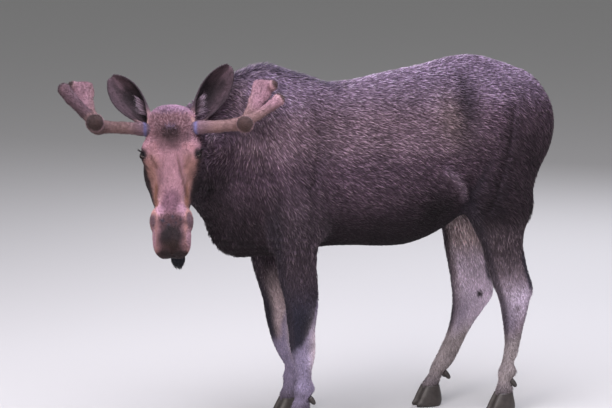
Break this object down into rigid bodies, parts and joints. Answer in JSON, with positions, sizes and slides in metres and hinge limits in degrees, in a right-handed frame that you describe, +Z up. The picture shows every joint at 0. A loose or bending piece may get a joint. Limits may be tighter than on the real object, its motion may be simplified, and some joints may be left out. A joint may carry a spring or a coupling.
{
  "type": "moose",
  "caption": "Life-size still model of a young bull moose in velvet, standing on four feet with its head turned to its left; for display.",
  "frame": {"origin": "on the floor, under the middle of the whole animal's box", "axes": "+X towards the rump, so the animal faces -X; +Y to its right side; +Z up"},
  "size_m": [2.4933, 0.7853, 1.7936],
  "materials": {
    "coat": "short brown hair, lying flat, with paler tips",
    "face": "very short red-brown hair, darker on the muzzle",
    "shank": "very short pale grey-brown hair",
    "velvet": "fine brown velvet over growing antler",
    "eye": "dark, wet and smooth",
    "hoof": "dark horn, slightly polished by wear"
  },
  "bodies": {
    "root": {"trunk": "coat", "neck": "coat", "ear_right": "coat", "ear_left": "coat", "tail": "coat", "bell": "coat", "head": "face", "eye_right": "eye", "eye_left": "eye", "antler_right_beam": "velvet", "antler_right_brow": "velvet", "antler_right_lobe": "velvet", "antler_right_palm": "velvet", "antler_left_beam": "velvet", "antler_left_brow": "velvet", "antler_left_lobe": "velvet", "antler_left_palm": "velvet", "fore_left_upper": "coat", "fore_left_lower": "shank", "fore_left_hoof_outer": "hoof", "fore_left_dewclaw_outer": "hoof", "fore_left_hoof_inner": "hoof", "fore_left_dewclaw_inner": "hoof", "fore_right_upper": "coat", "fore_right_lower": "shank", "fore_right_hoof_outer": "hoof", "fore_right_dewclaw_outer": "hoof", "fore_right_hoof_inner": "hoof", "fore_right_dewclaw_inner": "hoof", "hind_left_upper": "coat", "hind_left_lower": "shank", "hind_left_hoof_outer": "hoof", "hind_left_dewclaw_outer": "hoof", "hind_left_hoof_inner": "hoof", "hind_left_dewclaw_inner": "hoof", "hind_right_upper": "coat", "hind_right_lower": "shank", "hind_right_hoof_outer": "hoof", "hind_right_dewclaw_outer": "hoof", "hind_right_hoof_inner": "hoof", "hind_right_dewclaw_inner": "hoof"}
  },
  "joints": []
}
